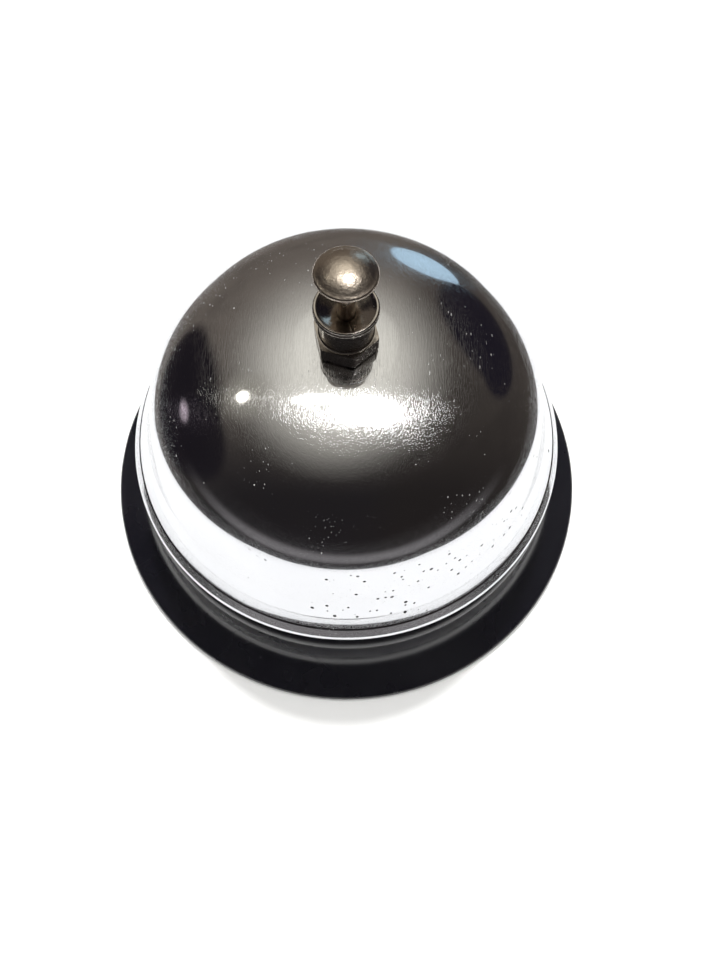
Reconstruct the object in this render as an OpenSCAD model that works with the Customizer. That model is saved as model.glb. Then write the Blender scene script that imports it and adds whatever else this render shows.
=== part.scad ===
// Counter service bell: a sprung plunger throws a pivoted hammer up against a chromed steel gong.
// Millimetres, +Z up. The origin is on the table, under the centre of the base.
// The plunger's axis is the Z axis, the hammer swings in the YZ plane, and its pivot runs along X.

/* [Base] */
// Diameter of the base over its outer rim
base_d = 85; // [82:1:90]
// Height of the flat deck above the table
deck_z = 13.8; // [12.5:0.1:14.5]
// Thickness of the pressed base sheet
base_sheet = 0.8; // [0.6:0.1:1]
// Radius of the flat deck, up to its rounded shoulder
deck_r = 33.9; // [33:0.1:34.5]
// Height at which the steep wall turns into the cove
cove_z = 6.4; // [5.5:0.1:7]
// Radius of the cove between the wall and the flange
cove_r = 3.5; // [3:0.1:4.5]
// Slope of the sloping flange, in degrees
flange_slope = 27; // [22:1:30]

/* [Gong] */
// Height of the flat seat on top of the gong
crown_z = 45.4; // [44.8:0.1:46]
// Thickness of the gong's wall
gong_wall = 0.9; // [0.7:0.1:1.1]
// Radius of the shallow cap
cap_r = 54; // [50:1:60]
// Slope at which the cap meets the shoulder, in degrees
cap_slope = 21; // [20:0.5:22]
// Radius of the shoulder's upper, wider part
shoulder_r = 20.3; // [19.8:0.1:20.8]
// Slope at which the shoulder tightens, in degrees
turn_slope = 55; // [53:0.5:56]
// Radius of the shoulder's lower, tighter part
turn_r = 6.3; // [5.8:0.1:6.5]
// Radius of the skirt's outward flare
flare_r = 14; // [13.5:0.1:14.5]
// Outer radius of the gong over its rolled lip
lip_r = 35.5; // [35.3:0.1:35.8]
// Slope at which the flare ends at the lip's band, in degrees
flare_slope = 52; // [50:1:56]
// Slope of the straight band above the lip's rolled edge, in degrees
band_slope = 47; // [45:1:50]
// Radius of the lip's rolled edge
bead_r = 1.2; // [1:0.1:1.3]

/* [Guide nut] */
// Width of the guide nut's hexagon across its flats
hex_af = 8; // [7.5:0.1:9]
// Height of the hexagon
hex_h = 2.65; // [2:0.05:3.5]
// Diameter of the round neck above the hexagon
neck_d = 7.3; // [6.6:0.1:7.6]
// Diameter of the collar on top of the neck
collar_d = 8.6; // [8:0.1:10]
// Height of the collar's top face
collar_z = 53.5; // [52.5:0.1:54]
// Thickness of the collar
collar_h = 1.1; // [0.9:0.1:1.5]
// Angle at which the hexagon came to rest when tightened, in degrees
nut_turn = 13.7; // [0:0.1:60]

/* [Plunger] */
// Diameter of the push button
button_d = 8; // [7:0.1:11]
// Height of the top of the push button, at rest
button_z = 61.5; // [61:0.1:62.5]
// Height of the button's domed head
button_h = 1.9; // [1.7:0.1:2.6]
// Diameter of the plunger rod above its spring
rod_d = 2.4; // [2.2:0.1:2.4]
// Diameter of the plunger rod inside its spring
rod_low_d = 2; // [1.8:0.1:2]
// Travel of the button from rest to its stop
travel = 3.75; // [3:0.05:3.75]

/* [Return spring] */
// Wire diameter
spring_wire = 0.4; // [0.3:0.05:0.4]
// Mean diameter of the coil
spring_mean_d = 2.74; // [2.7:0.02:2.78]
// Number of working turns
spring_turns = 12; // [8:1:14]

/* [Striker] */
// Distance of the hammer's pivot from the plunger's axis
pivot_y = 7; // [6.5:0.1:7.5]
// Height of the hammer's pivot
pivot_z = 25; // [24.5:0.1:25.5]
// Length of the hammer's arm, from the pivot to the clapper
arm = 18.5; // [17.5:0.1:18.5]
// Radius of the clapper
clapper_r = 3.8; // [3:0.1:3.9]
// Angle of the hammer below level at rest, in degrees
rest_angle = 20; // [18:0.5:20]
// Diameter of the pivot pin
pin_d = 2; // [1.6:0.1:2]
// Thickness of the frame and lever sheet
strap = 1.2; // [1:0.1:1.4]
// Distance between the inner faces of the frame's legs
frame_gap = 18; // [17:0.5:20]
// Height of the frame's top face
frame_z = 31.6; // [31:0.1:32.5]

/* [Hidden] */

$fn = 64;
tiny = 0.02;        // assembly clearance between parts that are fastened together
run = 0.05;         // radial clearance of parts that slide or turn in each other
over = 1;           // how far a cutting shape runs past the face that it cuts
arc_step = 5;       // angle between the points of a computed arc, in degrees

// Base
wall_slope = 86;
shoulder_bend = 2;
rim_bend = base_sheet;
rim_z = 0.7;
foot_in_r = base_d / 2 - 4.4;
foot_out_r = base_d / 2 - 1.3;
rivet_x = 13.6;
rivet_y = 1.5;
rivet_r = 1.5;
bumper_y = pivot_y + 9.6;
bumper_peg_r = 1.2;

// Gong
seat_r = 5.5;
gong_hole_r = 2.7;
skirt_slope = 76;
skirt_z = 24.8;     // height at which the straight skirt starts to flare
lip_end = -30;

// Post, nuts and washers
post_r = 2.5;
post_bore_r = 1.75;
post_foot_z = 27.2;
post_top_z = 50.4;
post_flange_r = 5;
post_flange_h = 1.8;
spring_ledge_z = 30;
lock_washer_h = 0.6;
lock_nut_h = 2.2;
washer_h = 1;
washer_r = 5.2;
support_nut_h = 2.4;
collar_edge = 0.35;
dish_r = 3.85;      // of the cone-shaped dish in the collar's top, at its rim
dish_floor_r = 1.4;
dish_depth = 1.45;
nut_face_r = 3.9;   // round face under the hexagon, which seats on the gong
nut_face_h = 0.35;
guide_ledge_z = post_top_z + run;

// Plunger
retainer_z = 48.6;
retainer_h = 1.7;
rod_tip_z = 26.04;
button_edge = 0.35;
boss_r = 1.7;
boss_h = 1;
spring_seat_h = 0.4;

// Striker
lever_w = 6;
lever_drop = 1.6;   // from the pivot down to the lever's upper face
tail = 9.6;
hub_r = 2;
hub_half = frame_gap / 2 - 1.2;
clapper_lift = 1.2; // of the clapper's centre above the line through the pivot
clip_r = 2.2;
clip_h = 0.6;
leg_out = frame_gap / 2 + strap;
foot_x = leg_out + 7;
leg_bend = 2;

gong_grey = [0.82, 0.82, 0.84];
nickel = [0.72, 0.69, 0.64];
zinc = [0.66, 0.68, 0.7];
steel = [0.56, 0.57, 0.58];
brass = [0.74, 0.6, 0.33];
gloss_black = [0.05, 0.05, 0.06];
rubber_black = [0.1, 0.1, 0.1];
fibre_red = [0.5, 0.16, 0.1];

// Points of an arc about c from angle a0 to a1, without the first point.
function arc(c, r, a0, a1) =
    let (n = max(2, ceil(abs(a1 - a0) / arc_step)))
    [for (i = [1:n]) let (a = a0 + (a1 - a0) * i / n) c + r * [cos(a), sin(a)]];

// Unit vector at angle a.
function unit(a) = [cos(a), sin(a)];

// Section of the pressed base, from the axis out along the top and back along the underside.
base_bend_c = [deck_r, deck_z - shoulder_bend];
base_wall_top = base_bend_c + shoulder_bend * unit(90 - wall_slope);
base_wall_end = [base_wall_top[0] + (base_wall_top[1] - cove_z) / tan(wall_slope), cove_z];
cove_c = base_wall_end - cove_r * unit(270 - wall_slope);
cove_end = cove_c + cove_r * unit(270 - flange_slope);
rim_x = base_d / 2 - rim_bend;
rim_start_x = rim_x + rim_bend * sin(flange_slope);
rim_c = [
    rim_x,
    cove_end[1] - (rim_start_x - cove_end[0]) * tan(flange_slope) - rim_bend * cos(flange_slope)
];
base_section = concat(
    [[0, deck_z], [deck_r, deck_z]],
    arc(base_bend_c, shoulder_bend, 90, 90 - wall_slope),
    [base_wall_end],
    arc(cove_c, cove_r, 270 - wall_slope, 270 - flange_slope),
    [rim_c + rim_bend * unit(90 - flange_slope)],
    arc(rim_c, rim_bend, 90 - flange_slope, 0),
    [[base_d / 2, rim_z], [base_d / 2 - base_sheet, rim_z]],
    [rim_c],
    [cove_c + (cove_r + base_sheet) * unit(270 - flange_slope)],
    arc(cove_c, cove_r + base_sheet, 270 - flange_slope, 270 - wall_slope),
    [base_bend_c + (shoulder_bend - base_sheet) * unit(90 - wall_slope)],
    arc(base_bend_c, shoulder_bend - base_sheet, 90 - wall_slope, 90),
    [[0, deck_z - base_sheet]]
);

// Height of the flange's underside at radius r, where the foot ring is glued.
function under_flange(r) = rim_c[1] + (rim_x - r) * tan(flange_slope);

// Section of the gong, from its hole out over the cap, shoulder, skirt, flare, band and rolled edge, and
// back inside.
cap_c = [0, crown_z - sqrt(cap_r * cap_r - seat_r * seat_r)];
seat_in_r = sqrt(pow(cap_r - gong_wall, 2) - pow(crown_z - gong_wall - cap_c[1], 2));
shoulder_c = cap_c + (cap_r - shoulder_r) * unit(90 - cap_slope);
turn_c = shoulder_c + (shoulder_r - turn_r) * unit(90 - turn_slope);
turn_end = turn_c + turn_r * unit(90 - skirt_slope);
flare_c = [turn_end[0] + (turn_end[1] - skirt_z) / tan(skirt_slope), skirt_z]
    + flare_r * unit(90 - skirt_slope);
bead_in_r = bead_r - gong_wall;
flare_in_r = flare_r + gong_wall;
flare_end = 270 - flare_slope;
flare_end_p = flare_c + flare_r * unit(flare_end);
band_end_r = lip_r - bead_r + bead_r * sin(band_slope);
band_end_p = [band_end_r, flare_end_p[1] - (band_end_r - flare_end_p[0]) * tan(band_slope)];
bead_c = band_end_p - bead_r * unit(90 - band_slope);
gong_section = concat(
    [[gong_hole_r, crown_z], [seat_r, crown_z]],
    arc(cap_c, cap_r, 90 - asin(seat_r / cap_r), 90 - cap_slope),
    arc(shoulder_c, shoulder_r, 90 - cap_slope, 90 - turn_slope),
    arc(turn_c, turn_r, 90 - turn_slope, 90 - skirt_slope),
    [flare_c + flare_r * unit(270 - skirt_slope)],
    arc(flare_c, flare_r, 270 - skirt_slope, flare_end),
    [band_end_p],
    arc(bead_c, bead_r, 90 - band_slope, lip_end),
    [bead_c + bead_in_r * unit(lip_end)],
    arc(bead_c, bead_in_r, lip_end, 90 - band_slope),
    [flare_c + flare_in_r * unit(flare_end)],
    arc(flare_c, flare_in_r, flare_end, 270 - skirt_slope),
    [turn_c + (turn_r - gong_wall) * unit(90 - skirt_slope)],
    arc(turn_c, turn_r - gong_wall, 90 - skirt_slope, 90 - turn_slope),
    arc(shoulder_c, shoulder_r - gong_wall, 90 - turn_slope, 90 - cap_slope),
    arc(cap_c, cap_r - gong_wall, 90 - cap_slope, 90 - asin(seat_in_r / (cap_r - gong_wall))),
    [[gong_hole_r, crown_z - gong_wall]]
);

// Cylinder along Z between two heights.
module rod_between(r, z0, z1) {
    translate([0, 0, z0]) cylinder(r = r, h = z1 - z0);
}

// Flat washer about the Z axis.
module ring(r_in, r_out, z0, z1) {
    difference() {
        rod_between(r_out, z0, z1);
        rod_between(r_in, z0 - over, z1 + over);
    }
}

// Hexagonal prism with both ends' corners chamfered by a share of their reach past the flats.
module hexagon(af, z0, z1, share = 0.6) {
    corner_r = af / (2 * cos(30));
    chamfer = (corner_r - af / 2) * share;
    edge_r = corner_r - (corner_r - af / 2) * min(1, 1.5 * share);
    intersection() {
        translate([0, 0, z0]) cylinder(r = corner_r, h = z1 - z0, $fn = 6);
        rotate_extrude() polygon([
            [0, z0], [edge_r, z0], [corner_r + tiny, z0 + chamfer],
            [corner_r + tiny, z1 - chamfer], [edge_r, z1], [0, z1]
        ]);
    }
}

// Plain nut on the post.
module post_nut(z0, z1) {
    difference() {
        hexagon(hex_af, z0, z1);
        rod_between(post_r + tiny, z0 - over, z1 + over);
    }
}

// Rod along X between two places, through the hammer's pivot.
module pivot_rod(r, x0, x1) {
    translate([x0, pivot_y, pivot_z]) rotate([0, 90, 0]) cylinder(r = r, h = x1 - x0);
}

// Places its children in the hammer's own frame: pivot at the origin, arm along +Y.
module on_hammer() {
    translate([0, pivot_y, pivot_z]) rotate([-rest_angle, 0, 0]) children();
}

// Mirrors its children across the YZ plane and keeps the original.
module both_sides() {
    children();
    mirror([1, 0, 0]) children();
}

module base_shell() {
    color(gloss_black)
    difference() {
        rotate_extrude($fn = 128) polygon(base_section);
        both_sides() translate([rivet_x, rivet_y, 0]) rod_between(rivet_r + tiny, 0, deck_z + over);
        translate([0, bumper_y, 0]) rod_between(bumper_peg_r + tiny, 0, deck_z + over);
    }
}

module foot_ring() {
    color(rubber_black)
    rotate_extrude($fn = 128) polygon([
        [foot_in_r, 0], [foot_out_r, 0],
        [foot_out_r, under_flange(foot_out_r) - tiny], [foot_in_r, under_flange(foot_in_r) - tiny]
    ]);
}

// Half of the frame's bent section in the XZ plane: top plate, leg and foot.
module frame_half_section() {
    in_bend = leg_bend - strap;
    polygon(concat(
        [[0, frame_z], [leg_out - leg_bend, frame_z]],
        arc([leg_out - leg_bend, frame_z - leg_bend], leg_bend, 90, 0),
        [[leg_out, deck_z + leg_bend]],
        arc([leg_out + in_bend, deck_z + leg_bend], in_bend, 180, 270),
        [[foot_x, deck_z + strap], [foot_x, deck_z], [leg_out + in_bend, deck_z]],
        arc([leg_out + in_bend, deck_z + leg_bend], leg_bend, 270, 180),
        [[leg_out - strap, frame_z - leg_bend]],
        arc([leg_out - leg_bend, frame_z - leg_bend], in_bend, 0, 90),
        [[0, frame_z - strap]]
    ));
}

module striker_frame() {
    reach = 3.6;
    color(zinc)
    difference() {
        intersection() {
            both_sides()
                translate([0, 12, 0]) rotate([90, 0, 0]) linear_extrude(24) frame_half_section();
            translate([-foot_x - over, 0, 0]) rotate([90, 0, 90]) linear_extrude(2 * foot_x + 2 * over)
                polygon([
                    [-6, 0], [9, 0], [9, deck_z + 4], [pivot_y + reach, pivot_z - 3],
                    [pivot_y + reach, pivot_z + 1.5], [pivot_y, frame_z + over], [-7, frame_z + over]
                ]);
        }
        rod_between(post_r + tiny, frame_z - strap - over, frame_z + over);
        pivot_rod(pin_d / 2 + tiny, -leg_out - over, leg_out + over);
        both_sides() translate([rivet_x, rivet_y, 0])
            rod_between(rivet_r + tiny, deck_z - over, deck_z + strap + over);
    }
}

// Round-headed rivet with an upset tail under the deck.
module frame_rivet() {
    head_r = 2.7;
    head_h = 1.3;
    tail_r = 2.4;
    tail_h = 0.9;
    seat = deck_z + strap;
    ball_r = (head_r * head_r + head_h * head_h) / (2 * head_h);
    rod_between(rivet_r, deck_z - base_sheet - tail_h / 2, seat + head_h / 2);
    rod_between(tail_r, deck_z - base_sheet - tail_h, deck_z - base_sheet);
    intersection() {
        translate([0, 0, seat + head_h - ball_r]) sphere(r = ball_r);
        rod_between(head_r + over, seat, seat + head_h + over);
    }
}

module frame_rivets() {
    color(steel) both_sides() translate([rivet_x, rivet_y, 0]) frame_rivet();
}

// Push-in rubber stop under the hammer's arm: domed top, peg through the deck, knob below.
module hammer_bumper() {
    stop_r = 2.5;
    dome_r = 4;
    knob_r = 1.8;
    dome_z = pivot_z - (dome_r + 0.12 + lever_drop + strap + (bumper_y - pivot_y) * sin(rest_angle))
        / cos(rest_angle);
    color(rubber_black) translate([0, bumper_y, 0]) {
        intersection() {
            rod_between(stop_r, deck_z, dome_z + dome_r + over);
            translate([0, 0, dome_z]) sphere(r = dome_r);
        }
        rod_between(stop_r, deck_z, dome_z + 2);
        rod_between(bumper_peg_r, deck_z - base_sheet - 0.6, deck_z + 0.5);
        rod_between(knob_r, deck_z - base_sheet - 1.2, deck_z - base_sheet - tiny);
    }
}

module centre_post() {
    color(brass)
    difference() {
        union() {
            rod_between(post_r, post_foot_z, post_top_z);
            rod_between(post_flange_r, frame_z, frame_z + post_flange_h);
        }
        rod_between(rod_low_d / 2 + run, post_foot_z - over, spring_ledge_z + over);
        rod_between(post_bore_r, spring_ledge_z, post_top_z + over);
    }
}

// Spring washer with its split, between the frame's plate and the lock nut.
module post_lock_washer() {
    top = frame_z - strap;
    color(steel) difference() {
        ring(post_r + tiny, 4.2, top - lock_washer_h, top);
        translate([2, -0.3, top - lock_washer_h - over]) cube([4, 0.6, lock_washer_h + 2 * over]);
    }
}

module post_lock_nut() {
    top = frame_z - strap - lock_washer_h;
    color(zinc) post_nut(top - lock_nut_h, top);
}

module gong_support_nut() {
    top = crown_z - gong_wall - washer_h;
    color(zinc) post_nut(top - support_nut_h, top);
}

module gong_washer() {
    color(fibre_red)
    ring(post_r + tiny, washer_r, crown_z - gong_wall - washer_h, crown_z - gong_wall);
}

module gong() {
    color(gong_grey) rotate_extrude($fn = 128) polygon(gong_section);
}

// Collar of the guide nut, with rounded rims.
module collar_section() {
    r = collar_d / 2;
    foot = collar_z - collar_h;
    polygon(concat(
        [[0, foot], [r - collar_edge, foot]],
        arc([r - collar_edge, foot + collar_edge], collar_edge, 270, 360),
        [[r, collar_z - collar_edge]],
        arc([r - collar_edge, collar_z - collar_edge], collar_edge, 0, 90),
        [[0, collar_z]]
    ));
}

module guide_nut() {
    color(nickel)
    difference() {
        union() {
            rotate([0, 0, nut_turn - 90])
                hexagon(hex_af, crown_z + nut_face_h, crown_z + hex_h, 0.14);
            rod_between(nut_face_r, crown_z, crown_z + hex_h / 2);
            rod_between(neck_d / 2, crown_z + hex_h / 2, collar_z - collar_h / 2);
            rotate_extrude() collar_section();
        }
        rod_between(post_r + tiny, crown_z - over, guide_ledge_z);
        rod_between(rod_d / 2 + run, guide_ledge_z - over, collar_z + over);
        rotate_extrude() polygon([
            [0, collar_z - dish_depth], [dish_floor_r, collar_z - dish_depth], [dish_r, collar_z],
            [dish_r, collar_z + over], [0, collar_z + over]
        ]);
    }
}

module spring_seat() {
    color(steel)
    ring(rod_low_d / 2 + run, post_bore_r - run, spring_ledge_z, spring_ledge_z + spring_seat_h);
}

// Helical spring: one closed turn at each end, open turns between.
module return_spring() {
    sides = 6;
    steps = 16;
    low = spring_ledge_z + spring_seat_h + spring_wire / 2;
    high = retainer_z - spring_wire / 2;
    closed = spring_wire * 1.05;
    pitch = (high - low - 2 * closed) / spring_turns;
    turns = spring_turns + 2;
    rings = turns * steps;
    color(steel) polyhedron(
        points = [
            for (i = [0:rings], k = [0:sides - 1])
                let (t = i / steps)
                let (z = low + closed * min(t, 1) + pitch * min(max(t - 1, 0), spring_turns)
                    + closed * max(t - 1 - spring_turns, 0))
                let (a = 360 * t)
                let (b = 360 * k / sides)
                let (r = spring_mean_d / 2 + spring_wire / 2 * cos(b))
                [r * cos(a), r * sin(a), z + spring_wire / 2 * sin(b)]
        ],
        faces = concat(
            [[for (k = [0:sides - 1]) k]],
            [
                for (i = [0:rings - 1], k = [0:sides - 1])
                    let (n = (k + 1) % sides)
                    [i * sides + k, (i + 1) * sides + k, (i + 1) * sides + n, i * sides + n]
            ],
            [[for (k = [sides - 1:-1:0]) rings * sides + k]]
        )
    );
}

// Headed pivot pin, grooved at its other end for the clip.
module pivot_pin() {
    head_r = 1.9;
    head_h = 0.9;
    groove = 0.2;
    color(steel) difference() {
        union() {
            pivot_rod(pin_d / 2, -leg_out - tiny, leg_out + 1.5);
            pivot_rod(head_r, -leg_out - tiny - head_h, -leg_out - tiny);
        }
        difference() {
            pivot_rod(pin_d / 2 + over, leg_out + 0.1, leg_out + 0.1 + clip_h);
            pivot_rod(pin_d / 2 - groove, leg_out, leg_out + 0.2 + clip_h);
        }
    }
}

// Open retaining clip in the pin's groove.
module pin_clip() {
    x0 = leg_out + 0.1 + tiny;
    x1 = x0 + clip_h - 2 * tiny;
    color(steel) difference() {
        pivot_rod(clip_r, x0, x1);
        pivot_rod(pin_d / 2 - 0.2 + tiny, x0 - over, x1 + over);
        translate([x0 - over, pivot_y - 0.6, pivot_z]) cube([clip_h + 2 * over, 1.2, clip_r + over]);
    }
}

module pivot_spacers() {
    color(brass) both_sides() difference() {
        pivot_rod(clip_r, hub_half + run, frame_gap / 2 - run);
        pivot_rod(pin_d / 2 + tiny, hub_half - over, frame_gap / 2 + over);
    }
}

// Button section: domed top, thin round rim, slightly hollow underside and a short boss.
module button_section() {
    r = button_d / 2;
    rim_top = button_z - button_h + 2 * button_edge;
    rise = button_z - rim_top;
    shell_r = r - button_edge;
    dome_r = (shell_r * shell_r + rise * rise) / (2 * rise);
    under = button_z - button_h;
    polygon(concat(
        [[0, under - boss_h], [boss_r, under - boss_h], [boss_r, under + 0.3], [shell_r, under]],
        arc([shell_r, under + button_edge], button_edge, 270, 450),
        arc([0, button_z - dome_r], dome_r, 90 - asin(shell_r / dome_r), 90)
    ));
}

module plunger_button() {
    color(nickel) difference() {
        rotate_extrude() button_section();
        rod_between(rod_d / 2, button_z - button_h - boss_h - over, button_z - button_h + 0.8);
    }
}

module plunger_rod() {
    tip_r = rod_low_d / 2;
    color(nickel) {
        rod_between(rod_d / 2, retainer_z, button_z - button_h + 0.8);
        rod_between(tip_r, rod_tip_z + tip_r, retainer_z);
        translate([0, 0, rod_tip_z + tip_r]) sphere(r = tip_r);
    }
}

module spring_retainer() {
    color(steel) ring(rod_d / 2, post_bore_r - run, retainer_z, retainer_z + retainer_h);
}

// Lever: a flat strip under a hub tube, with a hole for the clapper's rivet.
module hammer_lever() {
    end_y = arm + 2.6;
    color(steel) on_hammer() difference() {
        union() {
            translate([-lever_w / 2, -tail, -lever_drop - strap]) cube([lever_w, tail + end_y - 3, strap]);
            translate([0, end_y - 3, -lever_drop - strap]) cylinder(r = lever_w / 2, h = strap);
            translate([-hub_half, 0, 0]) rotate([0, 90, 0]) cylinder(r = hub_r, h = 2 * hub_half);
        }
        translate([-hub_half - over, 0, 0]) rotate([0, 90, 0])
            cylinder(r = pin_d / 2 + run, h = 2 * hub_half + 2 * over);
        translate([0, arm, -lever_drop - strap - over]) cylinder(r = 1 + tiny, h = strap + 2 * over);
    }
}

// Clapper: a steel ball with a flat that seats on the lever, drilled for its rivet.
module clapper() {
    color(brass) on_hammer() translate([0, arm, 0]) difference() {
        intersection() {
            translate([0, 0, clapper_lift]) sphere(r = clapper_r);
            translate([0, 0, -lever_drop]) cylinder(r = clapper_r + over, h = 3 * clapper_r);
        }
        translate([0, 0, -lever_drop - over]) cylinder(r = 1 + tiny, h = over + 2.5);
    }
}

module clapper_rivet() {
    foot = -lever_drop - strap;
    color(steel) on_hammer() translate([0, arm, 0]) {
        translate([0, 0, foot - 0.7]) cylinder(r = 1.8, h = 0.7);
        translate([0, 0, foot - 0.3]) cylinder(r = 1, h = strap + 0.3 + 2.4);
    }
}

base_shell();
foot_ring();
striker_frame();
frame_rivets();
hammer_bumper();
centre_post();
post_lock_washer();
post_lock_nut();
gong_support_nut();
gong_washer();
gong();
guide_nut();
spring_seat();
return_spring();
pivot_pin();
pin_clip();
pivot_spacers();
plunger_button();
plunger_rod();
spring_retainer();
hammer_lever();
clapper();
clapper_rivet();
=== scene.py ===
"""Counter service bell: the detailed visual model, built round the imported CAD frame.

Lengths in the shape code are millimetres in the row's frame. They become metres when a mesh is made.
The stage, the lamps and the camera are placed in metres.
"""

import math

import bmesh
import bpy
from mathutils import Matrix, Vector


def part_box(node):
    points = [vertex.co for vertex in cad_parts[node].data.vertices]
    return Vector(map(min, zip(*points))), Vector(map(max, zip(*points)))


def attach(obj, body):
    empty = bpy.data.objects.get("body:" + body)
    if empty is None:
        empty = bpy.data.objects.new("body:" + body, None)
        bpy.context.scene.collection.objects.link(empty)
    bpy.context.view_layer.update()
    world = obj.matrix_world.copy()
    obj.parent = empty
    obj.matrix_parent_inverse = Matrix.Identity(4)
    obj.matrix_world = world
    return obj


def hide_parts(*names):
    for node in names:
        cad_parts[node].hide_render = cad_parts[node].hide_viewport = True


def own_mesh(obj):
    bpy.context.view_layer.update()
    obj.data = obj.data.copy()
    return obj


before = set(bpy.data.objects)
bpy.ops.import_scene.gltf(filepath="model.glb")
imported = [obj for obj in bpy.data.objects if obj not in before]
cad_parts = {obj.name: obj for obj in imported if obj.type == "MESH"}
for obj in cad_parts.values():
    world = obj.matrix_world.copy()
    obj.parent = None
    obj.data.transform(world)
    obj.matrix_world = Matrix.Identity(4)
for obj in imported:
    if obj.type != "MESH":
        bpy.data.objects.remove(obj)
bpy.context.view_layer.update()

MM = 0.001
scene = bpy.context.scene


# ---------------------------------------------------------------- places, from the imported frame


def low(node):
    """Lowest corner of a CAD node, in millimetres."""
    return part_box(node)[0] / MM


def high(node):
    """Highest corner of a CAD node, in millimetres."""
    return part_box(node)[1] / MM


def middle(node):
    """Middle of a CAD node's box, in millimetres."""
    return (low(node) + high(node)) / 2


CROWN_Z = high("gong").z
LIP_R = high("gong").x
DECK_Z = high("base_shell").z
BASE_R = high("base_shell").x
HEX_TURN = math.radians(13.7 - 90)  # direction of the guide nut's front corner
PIVOT = middle("pivot_pin")
REST_ANGLE = 20.0  # slope of the lever at rest, in degrees
HAMMER = Matrix.Translation((0, PIVOT.y, PIVOT.z)) @ Matrix.Rotation(
    math.radians(-REST_ANGLE), 4, "X"
)
ARM = 18.5  # along the lever from the pivot to the clapper
BASE_SHEET = 0.8  # thickness of the pressed base
FRAME_SHEET = 1.2  # thickness of the striker frame
ROUND = 256  # segments round a large piece
SMALL = 96  # segments round a small piece


# ---------------------------------------------------------------- shape helpers


def arc(centre, radius, start, end, step=3.0):
    """Points of an arc about centre, both ends included; angles in degrees."""
    count = max(2, math.ceil(abs(end - start) / step))
    angles = [math.radians(start + (end - start) * i / count) for i in range(count + 1)]
    return [(centre[0] + radius * math.cos(a), centre[1] + radius * math.sin(a)) for a in angles]


def rows_between(a, b, step):
    """Points on the line from a to b, both ends included, at most step apart."""
    count = max(1, math.ceil(math.dist(a, b) / step))
    return [
        (a[0] + (b[0] - a[0]) * i / count, a[1] + (b[1] - a[1]) * i / count)
        for i in range(count + 1)
    ]


def rounded(corners, radius, step=15.0):
    """A closed section with its corners rounded. Each corner is (r, z) or (r, z, its own radius)."""
    points = []
    count = len(corners)
    for i, corner in enumerate(corners):
        here = Vector(corner[:2])
        size = corner[2] if len(corner) > 2 else radius
        before = Vector(corners[i - 1][:2]) - here
        after = Vector(corners[(i + 1) % count][:2]) - here
        if size <= 0 or here.x < 1e-6:
            points.append(tuple(here))
            continue
        half = before.angle(after) / 2
        size = min(size, 0.45 * min(before.length, after.length) * math.tan(half))
        start = here + before.normalized() * size / math.tan(half)
        end = here + after.normalized() * size / math.tan(half)
        centre = here + (before.normalized() + after.normalized()).normalized() * size / math.sin(half)
        a0 = math.atan2(start.y - centre.y, start.x - centre.x)
        turn = math.atan2(end.y - centre.y, end.x - centre.x) - a0
        turn = (turn + math.pi) % (2 * math.pi) - math.pi
        points += arc(centre, size, math.degrees(a0), math.degrees(a0 + turn), step)
    return points


def spin(section, segments, warp=None):
    """Vertices and faces of a closed section spun round the Z axis. Points on the axis become poles."""
    kept = [p for i, p in enumerate(section) if math.dist(p, section[i - 1]) > 1e-5]
    verts, rows, faces = [], [], []
    for r, z in kept:
        start = len(verts)
        if r < 1e-5:
            verts.append((0.0, 0.0, z))
            rows.append([start] * segments)
            continue
        for i in range(segments):
            a = 2 * math.pi * i / segments
            wr, wz = warp(r, z, a) if warp else (r, z)
            verts.append((wr * math.cos(a), wr * math.sin(a), wz))
        rows.append(list(range(start, start + segments)))
    for k, row in enumerate(rows):
        upper = rows[(k + 1) % len(rows)]
        if row[0] == row[1] and upper[0] == upper[1]:
            continue
        for i in range(segments):
            j = (i + 1) % segments
            corners = list(dict.fromkeys((row[i], row[j], upper[j], upper[i])))
            faces.append(corners)
    return verts, faces


def joined(*solids):
    """Several (vertices, faces) as one."""
    verts, faces = [], []
    for more_verts, more_faces in solids:
        start = len(verts)
        verts += more_verts
        faces += [[start + i for i in f] for f in more_faces]
    return verts, faces


def placed(solid, matrix):
    """A solid moved by a matrix in millimetres."""
    verts, faces = solid
    return [tuple(matrix @ Vector(v)) for v in verts], faces


def along_x(y, z):
    """Matrix that lays the Z axis along X, through (y, z)."""
    return Matrix.Translation((0, y, z)) @ Matrix.Rotation(math.pi / 2, 4, "Y")


def piece(name, solid, material, body, nodes, sharp=40.0):
    """Makes a shown piece in place of CAD nodes: smooth, except at edges sharper than sharp degrees."""
    verts, faces = solid
    mesh = bpy.data.meshes.new(name)
    mesh.from_pydata([(x * MM, y * MM, z * MM) for x, y, z in verts], [], faces)
    bm = bmesh.new()
    bm.from_mesh(mesh)
    bmesh.ops.recalc_face_normals(bm, faces=bm.faces)
    bm.to_mesh(mesh)
    bm.free()
    mesh.shade_smooth()
    mesh.set_sharp_from_angle(angle=math.radians(sharp))
    mesh.materials.append(material)
    obj = bpy.data.objects.new(name, mesh)
    scene.collection.objects.link(obj)
    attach(obj, body)
    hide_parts(*nodes)
    return obj


def ring(r_in, r_out, z0, z1, edge, segments=SMALL):
    """Flat ring with rounded edges."""
    corners = [(r_in, z0), (r_out, z0), (r_out, z1), (r_in, z1)]
    return spin(rounded(corners, edge), segments)


# ---------------------------------------------------------------- material helpers


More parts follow.
